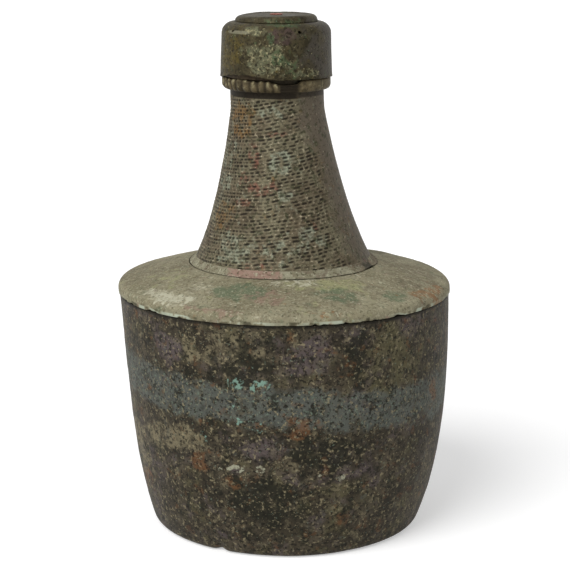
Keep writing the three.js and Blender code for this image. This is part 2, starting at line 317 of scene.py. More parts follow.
def turned_piece(node, outline, inside, sides, fine, coarse, finish, relief, bend=None):
    """Skin that replaces a node: outer face with relief, plain inner face, then any bending of both."""
    outer = evenly(outline, fine)
    inner = evenly(inside, coarse)
    phi = np.linspace(-math.pi, math.pi, sides, endpoint=False)
    spots = SimpleNamespace(
        phi=np.tile(phi, len(outer)),
        radius=np.repeat(outer[:, 0], sides),
        z=np.repeat(outer[:, 1], sides),
        run=np.repeat(lengths(outer), sides),
        sides=sides,
        outline=outer,
    )
    around = np.column_stack([np.sin(spots.phi), -np.cos(spots.phi)])
    spots.point = np.column_stack([spots.radius[:, None] * around, spots.z])
    height, fields = relief(spots)
    along = np.gradient(outer, axis=0)
    along /= np.linalg.norm(along, axis=1)[:, None]
    raised_radius = spots.radius + height * np.repeat(along[:, 1], sides)
    raised_z = spots.z - height * np.repeat(along[:, 0], sides)
    radius = np.concatenate([raised_radius, np.repeat(inner[:, 0], sides)])
    z = np.concatenate([raised_z, np.repeat(inner[:, 1], sides)])
    turn = np.tile(phi, len(outer) + len(inner))
    if bend:
        radius, z = bend(radius, z, turn)
    radius = np.maximum(radius, 0)
    point = np.column_stack([radius * np.sin(turn) + drift(z), -radius * np.cos(turn), z])
    low, high = corners(node)
    point = np.clip(point, low, high)
    unseen = np.zeros(len(inner) * sides)
    fields = {field: np.concatenate([values, unseen]) for field, values in fields.items()}
    fields["inside"] = np.concatenate([np.zeros(len(spots.phi)), unseen + 1])
    mesh = make_mesh(node + "_skin", point, close_faces(len(outer) + len(inner), sides), fields)
    return dress(bpy.data.objects.new(node + "_skin", mesh), node, finish)


def dress(piece, node, finish):
    """Puts a piece in the place of its node, on the same body, with its finish."""
    bpy.context.scene.collection.objects.link(piece)
    record = frame["record"]
    body = next(name for name, members in record["behaviour"]["bodies"].items() if node in members)
    piece.data.materials.append(finish)
    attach(piece, body)
    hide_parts(node)
    return piece


# Materials

MIX_A, MIX_B, MIX_COLOUR = 6, 7, 2
NOISE_SPREAD = 0.105  # standard deviation of the noise texture's values
PATCH_HOLD = 0.72  # below 1 the ground's own grain breaks up a painted patch
CRUST_SHINE = 0.12  # oxide and earth scatter light, so little of the room is mirrored in them


def linear(hex_colour):
    """Linear colour of an sRGB hex value."""
    parts = [int(hex_colour[i : i + 2], 16) / 255 for i in (1, 3, 5)]
    return [p / 12.92 if p <= 0.04045 else ((p + 0.055) / 1.055) ** 2.4 for p in parts] + [1]


def add(tree, kind, inputs=None, **settings):
    """Adds a node with its settings; an input is a value, or the socket that it is linked to."""
    node = tree.nodes.new("ShaderNode" + kind)
    for name, value in settings.items():
        setattr(node, name, value)
    for name, value in (inputs or {}).items():
        if isinstance(value, bpy.types.NodeSocket):
            tree.links.new(value, node.inputs[name])
        else:
            node.inputs[name].default_value = value
    return node


class Patina:
    """Finish of old metal, laid down in layers from the bare sheet outwards."""

    def __init__(self, name, colour, roughness, metallic):
        self.material = bpy.data.materials.new(name)
        self.material.use_nodes = True
        self.tree = self.material.node_tree
        self.shader = self.tree.nodes["Principled BSDF"]
        self.place = add(self.tree, "TexCoord").outputs["Object"]
        self.colour = linear(colour)
        self.height = 0.0
        self.roughness = roughness
        self.metallic = metallic
        self.draw = np.random.default_rng(len(name))

    def layer(self, colour, size, cover, soft=0.05, strength=1, field=None, pull=0.35, stretch=(1, 1, 1),
              detail=3, raised=0, roughness=None, metallic=None):
        """Lays one colour over the rest: lumps of a size in mm that cover a share of the surface.

        A field is a painted or measured attribute of the mesh, which pulls the colour to its places.
        """
        grid = [1 / (size * MM * longer) for longer in stretch]
        shift = self.draw.uniform(0, 50, 3).tolist()
        spot = add(self.tree, "Mapping", {"Vector": self.place, "Location": shift, "Scale": grid})
        lumps = add(self.tree, "TexNoise", {"Vector": spot.outputs[0], "Scale": 1, "Detail": detail,
                                            "Roughness": 0.62}).outputs[0]
        if field:
            where = add(self.tree, "Attribute", attribute_name=field).outputs["Fac"]
            lumps = add(self.tree, "Math", {0: where, 1: pull * PATCH_HOLD, 2: lumps},
                        operation="MULTIPLY_ADD").outputs[0]
        edge = NormalDist(0.5, NOISE_SPREAD).inv_cdf(1 - cover)
        share = add(self.tree, "MapRange", {"Value": lumps, "From Min": edge - soft, "From Max": edge + soft,
                                            "To Max": strength}, interpolation_type="SMOOTHSTEP").outputs[0]
        self.colour = add(self.tree, "Mix", {0: share, MIX_A: self.colour, MIX_B: linear(colour)},
                          data_type="RGBA").outputs[MIX_COLOUR]
        if raised:
            self.height = add(self.tree, "Math", {0: share, 1: raised, 2: self.height},
                              operation="MULTIPLY_ADD").outputs[0]
        if roughness is not None:
            self.roughness = add(self.tree, "Mix", {0: share, 2: self.roughness, 3: roughness}).outputs[0]
        if metallic is not None:
            self.metallic = add(self.tree, "Mix", {0: share, 2: self.metallic, 3: metallic}).outputs[0]

    def stain(self, colour, field, low=0.2, high=0.8, strength=1):
        """Tints the places where a field of the mesh is high, without a grain of its own."""
        where = add(self.tree, "Attribute", attribute_name=field).outputs["Fac"]
        share = add(self.tree, "MapRange", {"Value": where, "From Min": low, "From Max": high,
                                            "To Max": strength}, interpolation_type="SMOOTHSTEP").outputs[0]
        self.colour = add(self.tree, "Mix", {0: share, MIX_A: self.colour, MIX_B: linear(colour)},
                          data_type="RGBA").outputs[MIX_COLOUR]

    def done(self):
        inputs = self.shader.inputs
        inputs["Specular IOR Level"].default_value = CRUST_SHINE
        channels = {"Base Color": self.colour, "Roughness": self.roughness, "Metallic": self.metallic}
        for name, value in channels.items():
            if isinstance(value, bpy.types.NodeSocket):
                self.tree.links.new(value, inputs[name])
            else:
                inputs[name].default_value = value
        bump = add(self.tree, "Bump", {"Height": self.height, "Distance": MM, "Strength": 1})
        self.tree.links.new(bump.outputs["Normal"], inputs["Normal"])
        return self.material


def hammered_bronze_under_burial_crust():
    """Bronze sheet raised with the hammer, then long in the ground: dark, dull and granular.

    The eye sees brown-black metal oxides, a slate band, beige earth and turquoise copper salts.
    """
    skin = Patina("hammered_bronze_burial_crust", "#3f392e", 0.62, 0.3)
    skin.layer("#585042", 22, 0.42, soft=0.12, strength=0.8, detail=4)
    skin.layer("#2f2a22", 9, 0.5, soft=0.1, strength=0.8, detail=5)
    skin.layer("#5b5150", 14, 0.12, soft=0.1, strength=0.85, field="violet", pull=0.32, detail=4)
    skin.layer("#5c573f", 11, 0.1, soft=0.12, strength=0.8, field="olive", pull=0.3, detail=5)
    skin.layer("#7d745c", 5, 0.08, soft=0.12, strength=0.85, field="beige", pull=0.3, detail=6)
    skin.layer("#595d57", 7, 0.03, soft=0.12, strength=0.8, field="band", pull=0.4, detail=6)
    skin.layer("#23231b", 6, 0.18, soft=0.09, strength=0.85, field="black", pull=0.3, detail=6)
    skin.layer("#6a4a30", 6, 0.07, soft=0.08, strength=0.7, field="rust", pull=0.33, detail=5)
    skin.layer("#8f8569", 1.7, 0.15, soft=0.05, strength=0.8, detail=4, raised=0.06, roughness=0.85,
               metallic=0.05)
    skin.layer("#1d1b15", 1.5, 0.27, soft=0.06, strength=0.85, detail=4, raised=-0.06)
    skin.layer("#6d7a6b", 1.3, 0.05, soft=0.05, strength=0.8, field="band", pull=0.08, detail=4, roughness=0.85, metallic=0.05)
    skin.layer("#a5a48e", 2.4, 0.015, soft=0.06, strength=0.9, field="pale", pull=0.3, detail=6, raised=0.12,
               roughness=0.95, metallic=0)
    skin.layer("#7f9c8d", 2.6, 0.008, soft=0.05, strength=0.9, field="turquoise", pull=0.3, detail=6, raised=0.12,
               roughness=0.95, metallic=0)
    # Darkens the pits, and paints shade on the band just under the shoulder rim.
    skin.stain("#1c1a15", "hollow", 0.25, 0.9, 0.75)
    skin.stain("#221e18", "inside", 0.2, 0.8, 0.9)
    return skin.done()


def planished_bronze_with_lime_crust():
    """Flattened sheet whose top lay open to damp earth: pale grey-green lime over green copper salts."""
    skin = Patina("planished_bronze_lime_crust", "#7c765f", 0.75, 0.15)
    skin.layer("#98937a", 16, 0.5, soft=0.12, strength=0.8, detail=5, stretch=(1.5, 1.5, 1))
    skin.layer("#6b6350", 9, 0.22, soft=0.1, strength=0.75, field="brown", pull=0.4, detail=5)
    skin.layer("#8e876e", 4, 0.35, soft=0.1, strength=0.7, detail=5)
    skin.layer("#9a9a72", 6, 0.05, soft=0.1, strength=0.8, field="yellow", pull=0.35, detail=5)
    skin.layer("#5c6a52", 5, 0.08, soft=0.1, strength=0.75, field="green", pull=0.33, detail=6)
    skin.layer("#8f7668", 4, 0.05, soft=0.08, strength=0.7, field="pink", pull=0.3, detail=5)
    skin.layer("#86603f", 3.5, 0.03, soft=0.08, strength=0.75, field="orange", pull=0.33, detail=5)
    skin.layer("#c0bda6", 3, 0.05, soft=0.09, strength=0.85, field="pale", pull=0.3, detail=6, raised=0.08)
    skin.layer("#b5b197", 1.2, 0.16, soft=0.06, strength=0.6, detail=4, raised=0.05)
    skin.layer("#4d4a38", 1.3, 0.2, soft=0.06, strength=0.65, detail=4, raised=-0.06)
    skin.stain("#3c392b", "hollow", 0.2, 0.9, 0.75)
    skin.stain("#b9c2ae", "edge", 0.3, 0.9, 0.8)
    skin.stain("#221e18", "inside", 0.2, 0.8, 0.9)
    return skin.done()


def row_hammered_bronze():
    """Sheet drawn in with a cross-peen hammer: dark dents in rows, worn pale ridges between them."""
    skin = Patina("row_hammered_bronze", "#665c4a", 0.62, 0.25)
    skin.layer("#75705a", 14, 0.5, soft=0.12, strength=0.8, detail=4)
    skin.layer("#534a3a", 6, 0.3, soft=0.1, strength=0.7, detail=5)
    skin.layer("#5f564a", 9, 0.02, soft=0.15, strength=0.85, field="worn", pull=0.5, detail=4)
    skin.layer("#74493d", 4, 0.015, soft=0.09, strength=0.7, field="red", pull=0.36, detail=5)
    skin.layer("#79592f", 4, 0.04, soft=0.1, strength=0.65, field="orange", pull=0.33, detail=5)
    skin.layer("#8e9480", 4, 0.05, soft=0.1, strength=0.7, field="pale", pull=0.33, detail=5)
    skin.layer("#343824", 2.5, 0.22, soft=0.07, strength=0.75, detail=5)
    skin.layer("#b5aa90", 1.6, 0.03, soft=0.09, strength=0.8, field="ridge", pull=0.17, detail=4, roughness=0.8,
               metallic=0.05)
    skin.stain("#1d1913", "hollow", 0.25, 0.85, 0.92)
    skin.layer("#2c2820", 1.1, 0.14, soft=0.05, strength=0.7, detail=3)
    # Painted shade on the neck under the collar.
    skin.stain("#1e1812", "shade_under_collar", 0.2, 0.8, 0.9)
    skin.stain("#221e18", "inside", 0.2, 0.8, 0.9)
    return skin.done()


def soft_solder_under_crust():
    """Lead and tin run round the joint with an iron, now a lumpy grey seam full of earth."""
    skin = Patina("soft_solder_crust", "#7f7a64", 0.85, 0.1)
    skin.layer("#98957f", 6, 0.5, soft=0.1, strength=0.85, detail=5)
    skin.layer("#6c5f50", 5, 0.2, soft=0.1, strength=0.75, field="brown", pull=0.35, detail=5)
    skin.layer("#95786c", 4, 0.05, soft=0.08, strength=0.8, field="pink", pull=0.35, detail=5)
    skin.layer("#b6b49c", 1.6, 0.15, soft=0.07, strength=0.75, detail=5, raised=0.08)
    skin.layer("#45422f", 1.4, 0.2, soft=0.06, strength=0.75, detail=5, raised=-0.08)
    skin.stain("#33302a", "hollow", 0.2, 0.9, 0.85)
    return skin.done()


def cast_bronze_ring():
    """Ring cast in bronze and filed round, now olive brown with darker folds where it was crushed."""
    skin = Patina("cast_bronze_ring", "#564d39", 0.6, 0.3)
    skin.layer("#6c6047", 7, 0.45, soft=0.12, strength=0.8, detail=4)
    skin.layer("#3b3426", 4, 0.3, soft=0.1, strength=0.75, detail=5)
    skin.layer("#8c8466", 2, 0.05, soft=0.09, strength=0.8, field="ridge", pull=0.25, detail=4)
    skin.layer("#2a251a", 1.3, 0.14, soft=0.06, strength=0.65, detail=4, raised=-0.05)
    # Darkens the troughs of the crushed folds, and paints shade on the pushed-in stretch under the cap's edge.
    skin.stain("#1d1812", "hollow", 0.2, 0.9, 0.9)
    skin.stain("#1d1812", "inside", 0.2, 0.8, 0.9)
    return skin.done()


def turned_bronze_under_cap():
    """Tube that the cap slides on: rubbed bronze that stayed dark and plain."""
    skin = Patina("rubbed_bronze_tube", "#3c3226", 0.5, 0.5)
    skin.layer("#4f4432", 5, 0.4, soft=0.12, strength=0.8, detail=4, stretch=(3, 3, 1))
    skin.layer("#261f17", 3, 0.3, soft=0.08, strength=0.8, detail=5)
    skin.layer("#5d6a50", 1.8, 0.05, soft=0.05, strength=0.7, detail=4, raised=0.05, roughness=0.9, metallic=0)
    return skin.done()


def raised_bronze_cap():
    """Cap raised from one sheet, handled smooth at the side, with dense green and beige salts in front."""
    skin = Patina("raised_bronze_cap", "#403a28", 0.55, 0.35)
    skin.layer("#554e39", 8, 0.45, soft=0.12, strength=0.8, detail=4)
    skin.layer("#2b2617", 4, 0.36, soft=0.09, strength=0.8, detail=5)
    skin.layer("#48433b", 8, 0.02, soft=0.14, strength=0.9, field="grey", pull=0.5, detail=3)
    skin.layer("#5d5128", 3.5, 0.04, soft=0.1, strength=0.7, field="olive", pull=0.3, detail=5)
    skin.layer("#4a3c38", 4, 0.02, soft=0.1, strength=0.8, field="violet", pull=0.4, detail=4)
    skin.layer("#6a6b53", 5, 0.04, soft=0.1, strength=0.8, field="pale", pull=0.28, detail=5)
    skin.layer("#46553a", 3, 0.05, soft=0.09, strength=0.75, field="green", pull=0.33, detail=5)
    skin.layer("#a39c78", 1.4, 0.05, soft=0.06, strength=0.8, field="pale", pull=0.14, detail=4, raised=0.1,
               roughness=0.9, metallic=0)
    skin.layer("#7b9479", 1.5, 0.01, soft=0.05, strength=0.8, field="green", pull=0.16, detail=4, raised=0.1,
               roughness=0.9, metallic=0)
    skin.layer("#211d13", 1.3, 0.26, soft=0.06, strength=0.8, detail=4, raised=-0.06)
    skin.stain("#1c1812", "hollow", 0.2, 0.9, 0.85)
    skin.stain("#8c8972", "edge", 0.3, 0.9, 0.6)
    skin.stain("#1d1913", "inside", 0.2, 0.8, 0.9)
    return skin.done()


def torn_copper_rivet():
    """Soft copper, torn through: fresh pinkish lips round a red oxide crater."""
    skin = Patina("torn_copper", "#8a5a4e", 0.6, 0.4)
    skin.layer("#5a2c28", 1.2, 0.1, soft=0.08, strength=0.9, field="hollow", pull=0.4, detail=4, roughness=0.85,
               metallic=0.1)
    skin.layer("#b07f73", 0.8, 0.1, soft=0.06, strength=0.8, field="ridge", pull=0.25, detail=4)
    return skin.done()


# Pieces of the flask

WALL_PATINA = {
    "turquoise": [(-17, 88, 5, 3, 1), (-9, 88, 7, 4, 1), (-19, 76, 3, 3, 0.8), (-17, 70, 4, 3, 0.9),
                  (-30, 61, 3, 4, 0.9), (-10, 68, 3, 4, 0.7)],
    "beige": [(-46, 58, 20, 8, 1), (-34, 101, 6, 6, 0.9), (-16, 105, 16, 9, 0.7), (-71, 45, 14, 16, 0.9),
              (22, 57, 7, 4, 0.5)],
    "pale": [(-19, 46, 7, 3, 1), (-9, 47, 4, 3, 1), (12, 43, 3, 2, 0.9), (19, 42, 3, 2, 1), (-21, 27, 3, 2, 0.7)],
    "rust": [(-33, 48, 7, 6, 0.9), (-20, 40, 6, 4, 0.8), (22, 19, 5, 4, 0.6), (4, 68, 9, 6, 0.9),
             (62, 73, 5, 8, 1), (-70, 26, 9, 9, 0.6)],
    "violet": [(-44, 100, 15, 8, 0.9), (10, 102, 10, 11, 1), (-9, 59, 12, 6, 0.6)],
    "black": [(-14, 96, 14, 10, 0.8), (-33, 91, 5, 3, 0.6), (24, 98, 5, 14, 0.7), (-8, 31, 16, 12, 0.9),
              (14, 55, 16, 8, 0.9), (-9, 108, 10, 5, 0.7)],
    "olive": [(41, 96, 17, 16, 0.9), (-10, 112, 14, 5, 0.6), (20, 26, 22, 14, 0.5)],
}
BAND_Z = 76
BAND_TILT = 5
BAND_HALF_HEIGHT = 11


def wall_relief(spots):
    """Sheet that was dished on a stump: slow unevenness, eaten pits and low scabs of crust."""
    uneven = noise(spots.point, 30, 11, 2)
    grain = noise(spots.point, 4, 12, 3)
    lumps = noise(spots.point, 9, 13, 4)
    scab = smooth(0.12, 0.5, lumps)
    pit = pits(spots.point, 3.4, 14) * smooth(-0.1, 0.3, noise(spots.point, 25, 15))
    middle = BAND_Z - BAND_TILT * np.sin(spots.phi) + 3 * noise(spots.point, 14, 16, 3)
    fields = painted(spots, spots.z, WALL_PATINA, 40)
    fields["band"] = smooth(BAND_HALF_HEIGHT + 3, BAND_HALF_HEIGHT - 5, abs(spots.z - middle))
    # The band just under the shoulder rim is painted shade, darkened with the pits through the hollow field.
    fields["hollow"] = np.maximum(0.75 * pit, smooth(BODY_HEIGHT - 3, BODY_HEIGHT - 0.4, spots.z))
    crust = np.maximum(fields["pale"], fields["turquoise"]) * smooth(-0.2, 0.4, lumps)
    height = 0.16 * uneven + 0.05 * grain + 0.13 * scab - 0.3 * pit + 0.3 * crust - 0.1
    side = smooth(4, 14, spots.run) * smooth(BODY_HEIGHT - 0.5, BODY_HEIGHT - 3, spots.z)
    return height * side, fields


DENT_AZIMUTH = -29
DENT_WIDTH = 2.2  # degrees
DENT_DEPTH = 1.2


def foot_dent(radius, z, turn):
    """A small nick in the rounded edge of the foot."""
    away = (np.degrees(turn) - DENT_AZIMUTH) / DENT_WIDTH
    off_the_ring = smooth(FOOT_FLAT_RADIUS - 3, FOOT_FLAT_RADIUS, radius)
    depth = DENT_DEPTH * np.exp(-away * away) * smooth(9, 3, z) * off_the_ring
    return radius - depth, z + 0.7 * depth


def body_wall(finish):
    outline = wall_outline()
    inside = offset(outline, SHEET)[::-1]
    return turned_piece("body_wall", outline, inside, 400, 0.64, 4, finish, wall_relief, foot_dent)


def plain(spots):
    """Low grain of a plain sheet."""
    grain = noise(spots.point, 3, 21, 3)
    return 0.03 * grain - 0.03, {"hollow": smooth(0.2, 0.7, grain)}


def base_disc(finish):
    outline = np.array([(0, BASE_LOW_Z), (BASE_RADIUS, BASE_LOW_Z)])
    inside = np.array([(BASE_RADIUS, BASE_HIGH_Z), (0, BASE_HIGH_Z)])
    return turned_piece("base_disc", outline, inside, 160, 1.2, 3, finish, plain)


SHOULDER_PATINA = {
    "green": [(-19, 61, 13, 9, 1), (25, 65, 11, 7, 0.9), (45, 73, 9, 5, 0.8)],
    "pale": [(-46, 75, 20, 5, 1), (4, 49, 14, 5, 0.8), (-40, 62, 10, 6, 0.5)],
    "yellow": [(28, 55, 15, 7, 1), (9, 52, 8, 5, 0.8), (-60, 60, 15, 12, 0.4)],
    "orange": [(61, 77, 14, 5, 1), (15, 80, 7, 3, 0.7)],
    "pink": [(-6, 66, 9, 8, 0.8), (-22, 79, 16, 2, 0.8)],
    "brown": [(-88, 69, 16, 12, 0.9), (-77, 50, 12, 8, 0.7), (78, 62, 22, 14, 0.8)],
}
BITE_DEPTH = 0.9
HUMP_AZIMUTH = 129
HUMP_RADIUS = 66
DIP_RADIUS = 58


def shoulder_relief(spots):
    """Plate beaten flat in rings: faint round streaks, a dense grain of lime and small eaten pits."""
    streaks = round_streaks(spots, 14, 1.3, 31, 3)
    grain = noise(spots.point, 2.6, 32, 3)
    pit = pits(spots.point, 2.2, 33) * smooth(0, 0.35, noise(spots.point, 16, 34, 2))
    uneven = noise(spots.point, 24, 35, 2)
    fields = painted(spots, spots.radius, SHOULDER_PATINA, 60)
    eaten = smooth(-0.1, 0.5, noise(spots.point, 3.5, 36, 3))
    skirt = smooth(WALL_TOP_Z + 0.6, WALL_TOP_Z - 0.4, spots.z)
    fields["edge"] = skirt * smooth(0.35, 0.0, eaten) * (0.6 + 0.4 * noise(spots.point, 12, 37))
    fields["hollow"] = np.maximum(0.8 * pit, skirt * eaten)
    height = 0.1 * streaks + 0.08 * grain + 0.2 * uneven - 0.28 * pit - 0.12
    flat = smooth(WALL_TOP_Z + 1, WALL_TOP_Z + 3.5, spots.z)
    flat = flat * smooth(NECK_FOOT_RADIUS - 1, NECK_FOOT_RADIUS + 2, spots.radius)
    return height * flat, fields


def shoulder_bend(radius, z, turn):
    """Bites out of the rim's lower edge, and a dent with its hump at the back."""
    place = np.column_stack([radius * np.sin(turn), radius * np.cos(turn), np.zeros(len(z))])
    bite = BITE_DEPTH * smooth(0.05, 0.6, noise(place, 4, 38, 3)) * smooth(WALL_TOP_Z + 0.4, BODY_HEIGHT, z)
    across = (np.degrees(turn) - HUMP_AZIMUTH) / 9
    hump = 0.5 * np.exp(-across**2 - ((radius - HUMP_RADIUS) / 5) ** 2)
    dip = 0.7 * np.exp(-across**2 - ((radius - DIP_RADIUS) / 4.5) ** 2)
    return radius, z + bite + hump - dip


def shoulder_plate(finish):
    outline = shoulder_outline()
    inside = offset(outline, SHEET)[::-1]
    return turned_piece("shoulder_plate", outline, inside, 600, 0.42, 2.5, finish, shoulder_relief, shoulder_bend)


NECK_PATINA = {
    "red": [(-5, 195, 6, 1.5, 0.9), (-26, 184, 4, 8, 1), (-35, 175, 4, 4, 0.9), (-34, 163, 4, 2, 0.9),
            (-17, 170, 8, 4, 0.8), (-18, 135, 9, 2, 0.8), (30, 152, 5, 3, 0.5)],
    "orange": [(-56, 155, 9, 6, 0.9), (-47, 201, 8, 8, 0.9), (60, 150, 6, 8, 0.3)],
    "pale": [(1, 183, 6, 6, 0.9), (4, 167, 4, 5, 0.8), (19, 149, 6, 5, 0.9), (-36, 141, 12, 8, 0.8),
             (-9, 206, 12, 4, 0.6), (30, 146, 5, 4, 0.8), (-65, 180, 6, 20, 0.6), (0, 140, 14, 6, 0.5)],
}
ROW_PITCH = 1.65
ROW_CLIMB = 4.6
DASH = (2.6, 4.6)
SMALL_DASH = (1.7, 2.4)
DENT_IN_ROW = 0.42
GROOVE_LOW_Z = 211.4
GROOVE_HIGH_Z = 214.4
WORN_FROM, WORN_TO = 40, 150  # azimuth of the side that has been rubbed nearly smooth


def hammer_rows(spots, dash, seed):
    """Depth, from 0 to 1, of short dents in rows that climb to the right across the front."""
    draw = np.random.default_rng(seed)
    length, start, force = draw.uniform(*dash, 512), draw.uniform(0, 1, 512), draw.uniform(0.45, 1, 4096)
    wander = noise(spots.point, 8, seed, 2)
    place = (spots.run - ROW_CLIMB * np.sin(spots.phi - 0.25)) / ROW_PITCH + 0.4 * wander + 20
    row = np.floor(place).astype(np.int64)
    mean_radius = np.interp((row - 20) * ROW_PITCH, lengths(spots.outline), spots.outline[:, 0])
    count = np.round(2 * math.pi * mean_radius / length[row % 512])
    dent = spots.phi / (2 * math.pi) * count + start[row % 512] + 0.3 * noise(spots.point, 5, seed + 1, 2)
    cell = np.floor(dent).astype(np.int64) % count.astype(np.int64)
    struck = force[hashed(np.column_stack([row, cell]), seed)]
    across = abs(2 * (place - row) - 1)
    along = abs(2 * (dent - np.floor(dent)) - 1)
    return struck * (1 - across**2.2) * (1 - along**3.5)


def neck_relief(spots):
    """Rows of dents all round, worn away at the right side, under a plain groove below the collar; the groove and the
    neck above it are darkened as painted shade.
    """
    degrees = np.degrees(spots.phi)
    uneven = noise(spots.point, 16, 41, 2)
    left = smooth(-28, -42, degrees + 8 * uneven) * smooth(-100, -80, degrees)
    rows = (1 - left) * hammer_rows(spots, DASH, 42) + left * hammer_rows(spots, SMALL_DASH, 44)
    worn_from = WORN_FROM + 0.16 * (SEAT_Z - spots.z) - 12 * smooth(185, 205, spots.z)
    worn = smooth(worn_from - 14, worn_from + 10, degrees + 10 * uneven)
    worn = worn * smooth(WORN_TO + 15, WORN_TO - 15, degrees)
    textured = smooth(GROOVE_LOW_Z + 0.3, GROOVE_LOW_Z - 0.8, spots.z + 0.4 * uneven)
    kept = textured * (1 - 0.8 * worn)
    grain = noise(spots.point, 1.8, 46, 3)
    groove = smooth(GROOVE_LOW_Z - 0.3, GROOVE_LOW_Z + 0.5, spots.z)
    groove = groove * smooth(GROOVE_HIGH_Z + 0.6, GROOVE_HIGH_Z - 0.4, spots.z)
    groove *= smooth(40, 15, degrees) * smooth(-100, -60, degrees)
    fields = painted(spots, spots.z, NECK_PATINA, 80)
    fields["hollow"] = rows * kept
    fields["ridge"] = (1 - smooth(0, 0.35, rows)) * kept
    fields["worn"] = worn
    # Painted shade under the collar: the groove and the neck above it, up to the collar, are darkened.
    fields["shade_under_collar"] = np.maximum(groove, 0.6 * smooth(GROOVE_LOW_Z, GROOVE_LOW_Z + 1, spots.z))
    height = -DENT_IN_ROW * rows * kept + 0.07 * grain * textured + 0.22 * uneven * smooth(0, 20, spots.run) - 0.05
    height -= 0.55 * groove
    fade = smooth(COLLAR_BOTTOM_Z + 1, COLLAR_BOTTOM_Z, spots.z) * smooth(0, 2, spots.run)
    return height * fade, fields


def neck(finish):
    outline = neck_outline()
    inside = offset(outline, SHEET)[::-1]
    inside[-1] = (NECK_FOOT_RADIUS - SHEET / math.cos(math.radians(29.7)), NECK_FOOT_Z)
    return turned_piece("neck", outline, inside, 330, 0.36, 4, finish, neck_relief)


FILLET_WIDTH = 2.4
FILLET_HEIGHT = 2.2


def solder_relief(spots):
    """Lumps and holes of solder and earth, worst at the right."""
    lumps = noise(spots.point, 5, 51, 3)
    rough = smooth(25, 60, np.degrees(spots.phi))
    hole = smooth(0.1, 0.5, -lumps) * rough
    fields = {
        "hollow": hole,
        "brown": rough * 0.6,
        "pink": smooth(-45, -30, np.degrees(spots.phi)) * smooth(5, -8, np.degrees(spots.phi)),
    }
    return (0.25 + 0.5 * rough) * lumps + 0.1, fields


def neck_foot_solder(finish):
    top_z = NECK_FOOT_Z + FILLET_HEIGHT
    outline = neck_outline()
    top = np.array([np.interp(top_z, outline[:, 1], outline[:, 0]), top_z])
    plate = shoulder_outline()
    toe_radius = NECK_FOOT_RADIUS + FILLET_WIDTH
    toe = np.array([toe_radius, np.interp(-toe_radius, -plate[1:, 0], plate[1:, 1])])
    hollow = np.array([(toe[0] + 2 * top[0]) / 3, (2 * toe[1] + top[1]) / 3])
    share = np.linspace(0, 1, 13)[:, None]
    face = (1 - share) ** 2 * toe + 2 * share * (1 - share) * hollow + share**2 * top
    heel = np.array([NECK_FOOT_RADIUS - 0.5, toe[1] - 0.2])
    inside = np.array([top - (0.4, 0.1), heel, toe - (0.3, 0.25)])
    return turned_piece("neck_foot_solder", face, inside, 560, 0.25, 0.8, finish, solder_relief)


COLLAR_REACH = 1.05
CRUSH_FROM, CRUSH_TO = -120, 6
CRINKLE = 8.6  # degrees from fold to fold
GAP_FROM, GAP_TO = 4, 27  # stretch where the ring has been pushed right in


def collar_relief(spots):
    """Smooth roll at the right, crinkled folds at the left and a pushed-in stretch between them."""
    degrees = np.degrees(spots.phi)
    crushed = smooth(CRUSH_FROM, CRUSH_FROM + 30, degrees) * smooth(CRUSH_TO + 2, CRUSH_TO - 6, degrees)
    wander = 3 * noise(spots.point, 6, 61, 2)
    fold = 0.5 + 0.5 * np.cos(2 * math.pi * (degrees + wander) / CRINKLE)
    level = (spots.z - COLLAR_BOTTOM_Z) / (SEAT_Z - COLLAR_BOTTOM_Z)
    outer = smooth(MOUTH_RADIUS - 0.6, MOUTH_RADIUS + 0.4, spots.radius)
    folds = crushed * fold**1.5 * smooth(0.1, 0.5, level)
    pushed = smooth(GAP_FROM - 3, GAP_FROM + 2, degrees) * smooth(GAP_TO + 4, GAP_TO - 6, degrees)
    grain = noise(spots.point, 1.6, 62, 3)
    fields = {
        # The pushed-in stretch under the cap's edge is darkened as painted shade; the troughs of the crushed folds
        # are darker too.
        "hollow": np.maximum(crushed * (1 - fold) * 0.7, 0.9 * pushed),
        "ridge": np.maximum(folds, 0.3 * smooth(30, 50, degrees)),
    }
    height = (0.35 * folds - 0.4 * crushed * (1 - fold) - 1.3 * pushed) * outer + 0.06 * grain
    return height, fields


def collar_bend(radius, z, turn):
    """The crushed edge has sunk from the cap, most where it ends at the pushed-in stretch."""
    degrees = np.degrees(turn)
    crushed = smooth(-85, -50, degrees) * smooth(GAP_TO + 3, GAP_TO - 5, degrees)
    sunk = crushed * (0.25 + 0.35 * smooth(-45, -20, degrees) + 1.4 * smooth(-14, 6, degrees))
    waves = 0.2 * np.sin(np.radians(degrees) * 11) * crushed
    level = np.clip((z - COLLAR_BOTTOM_Z) / (SEAT_Z - COLLAR_BOTTOM_Z), 0, 1)
    return radius, z - (sunk + waves) * level**1.5


def collar_ring(finish):
    bore = THROAT_RADIUS + SEAM_GAP
    reach = MOUTH_RADIUS + COLLAR_REACH
    toe, swell = np.array([bore + 0.6, COLLAR_BOTTOM_Z]), np.array([reach, COLLAR_BOTTOM_Z + 3])
    corner = np.array([reach, COLLAR_BOTTOM_Z])
    share = np.linspace(0, 1, 13)[:, None]
    underside = (1 - share) ** 2 * toe + 2 * share * (1 - share) * corner + share**2 * swell
    edge = arc((reach - 1.1, SEAT_Z - 1.1), 1.1, 0, 90)
    outline = np.vstack([[(bore, COLLAR_BOTTOM_Z)], underside, edge, [(MOUTH_RADIUS, SEAT_Z)]])
    inside = np.array([(MOUTH_RADIUS - 0.1, SEAT_Z), (bore, SEAT_Z), (bore, COLLAR_BOTTOM_Z + 0.1)])
    return turned_piece("collar_ring", outline, inside, 480, 0.26, 1, finish, collar_relief, collar_bend)


